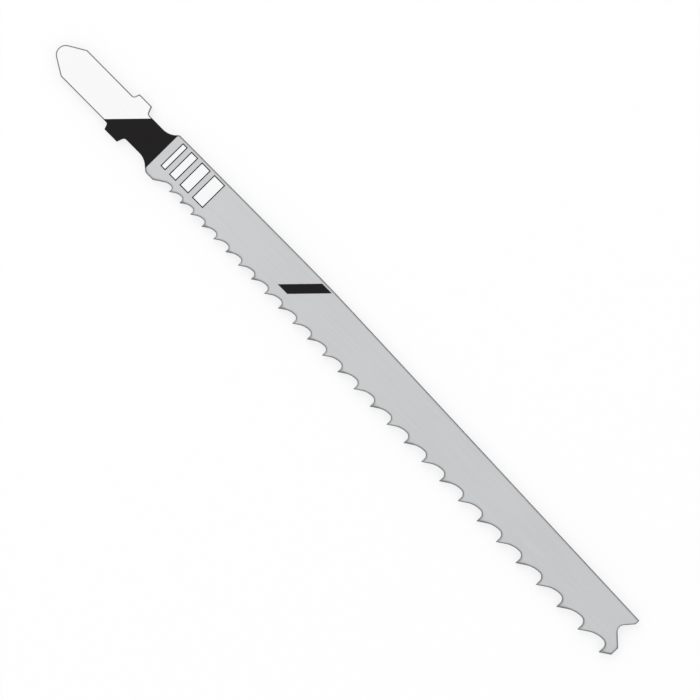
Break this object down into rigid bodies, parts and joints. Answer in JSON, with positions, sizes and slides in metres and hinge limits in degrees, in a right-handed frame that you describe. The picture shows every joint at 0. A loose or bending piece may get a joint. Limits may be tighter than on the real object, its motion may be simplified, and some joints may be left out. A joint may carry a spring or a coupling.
{
  "type": "jigsaw blade",
  "caption": "Flat steel jigsaw blade with an eared shank, a slanting line of milled, side-set teeth whose spacing grows towards the tip, and a notched tip end.",
  "frame": {"origin": "on the shank's axis, midway along the ears and midway through the sheet", "axes": "+X along the shank towards the tip end, +Y towards the back edge, +Z out of the flat face"},
  "size_m": [0.132, 0.0106, 0.0016],
  "materials": {
    "blade_steel": "fine-ground sheet steel"
  },
  "bodies": {
    "root": {"blade": "blade_steel"}
  },
  "joints": []
}
